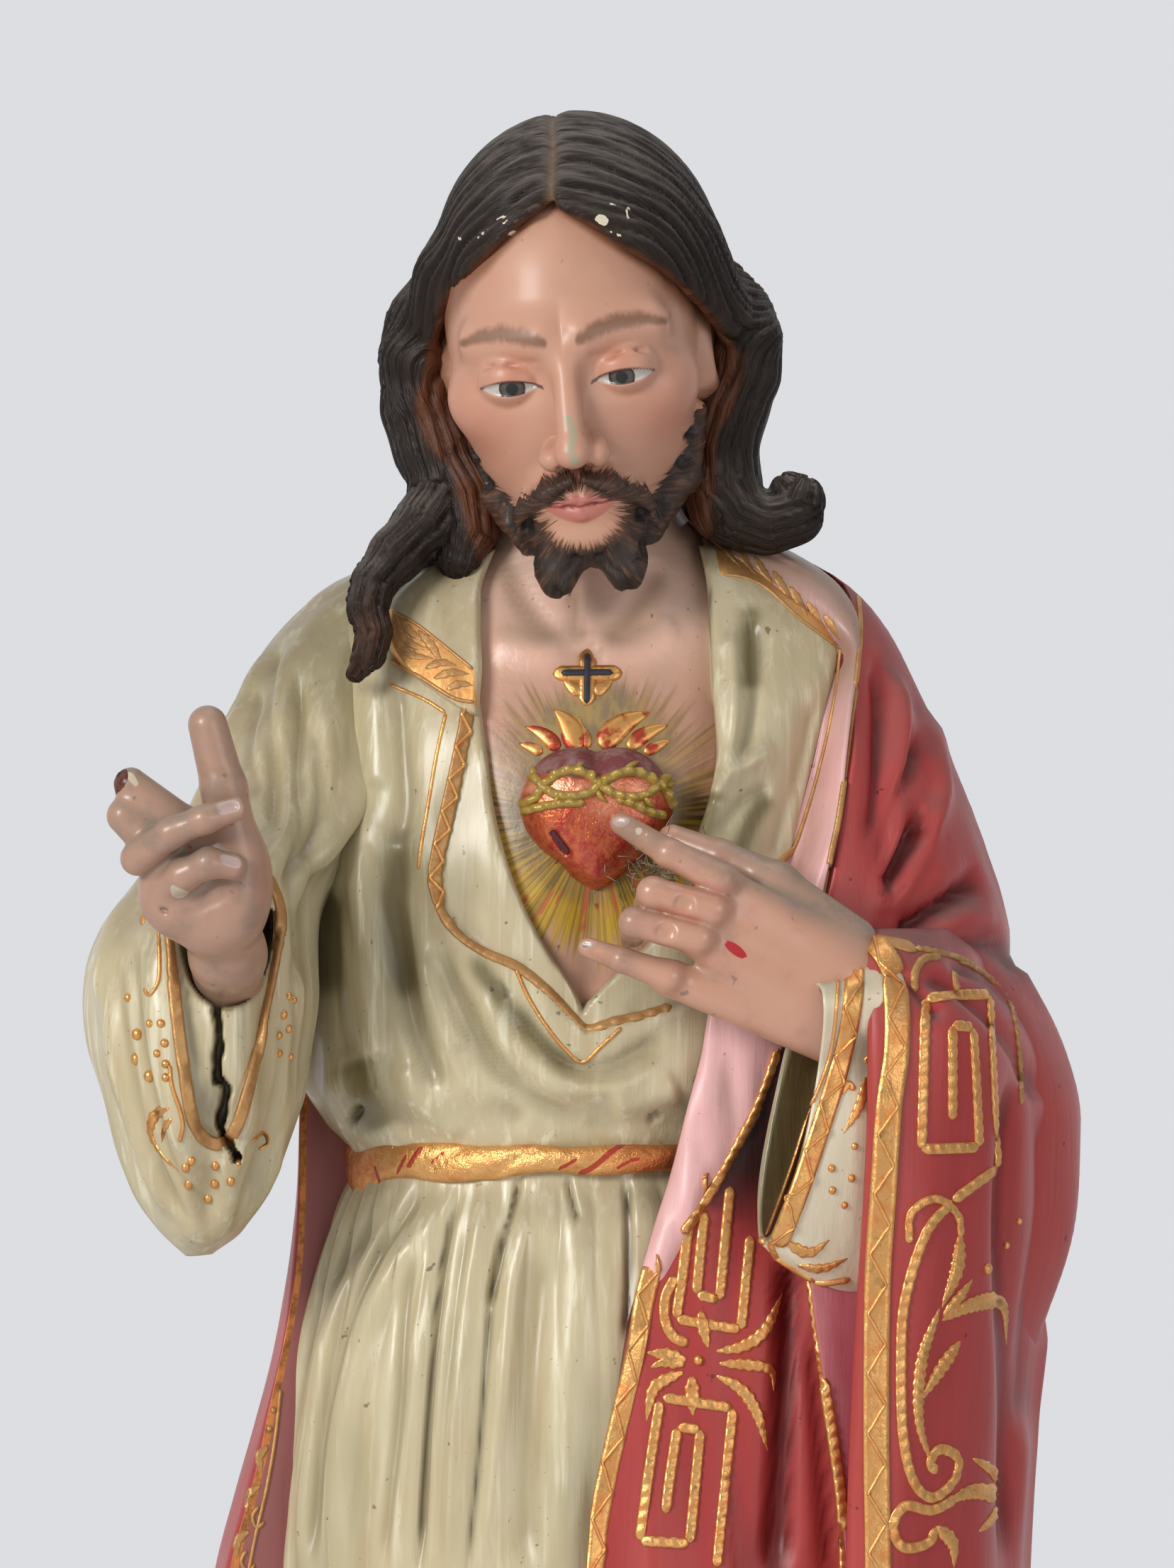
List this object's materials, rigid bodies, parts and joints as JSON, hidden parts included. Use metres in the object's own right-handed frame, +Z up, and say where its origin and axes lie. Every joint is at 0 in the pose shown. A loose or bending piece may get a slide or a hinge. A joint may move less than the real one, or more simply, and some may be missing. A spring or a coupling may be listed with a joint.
{
  "type": "sacred heart statue",
  "caption": "Standing robed and mantled figure in painted plaster, one hand raised and one at a heart relief, on a low cut-cornered plinth.",
  "frame": {"origin": "centre of the plinth's underside", "axes": "+Z up, the figure faces -Y, and its raised right hand is on the -X side"},
  "size_m": [0.2779, 0.2372, 0.8606],
  "materials": {
    "painted_plaster": "cream and red oil paint with gilding over cast plaster, varnished and grimed",
    "painted_hand": "flesh paint over cast plaster, worn",
    "painted_wood": "dark stained and varnished wood with a gilt edge"
  },
  "bodies": {
    "root": {"figure": "painted_plaster", "right_hand": "painted_hand", "plinth": "painted_wood"}
  },
  "joints": []
}
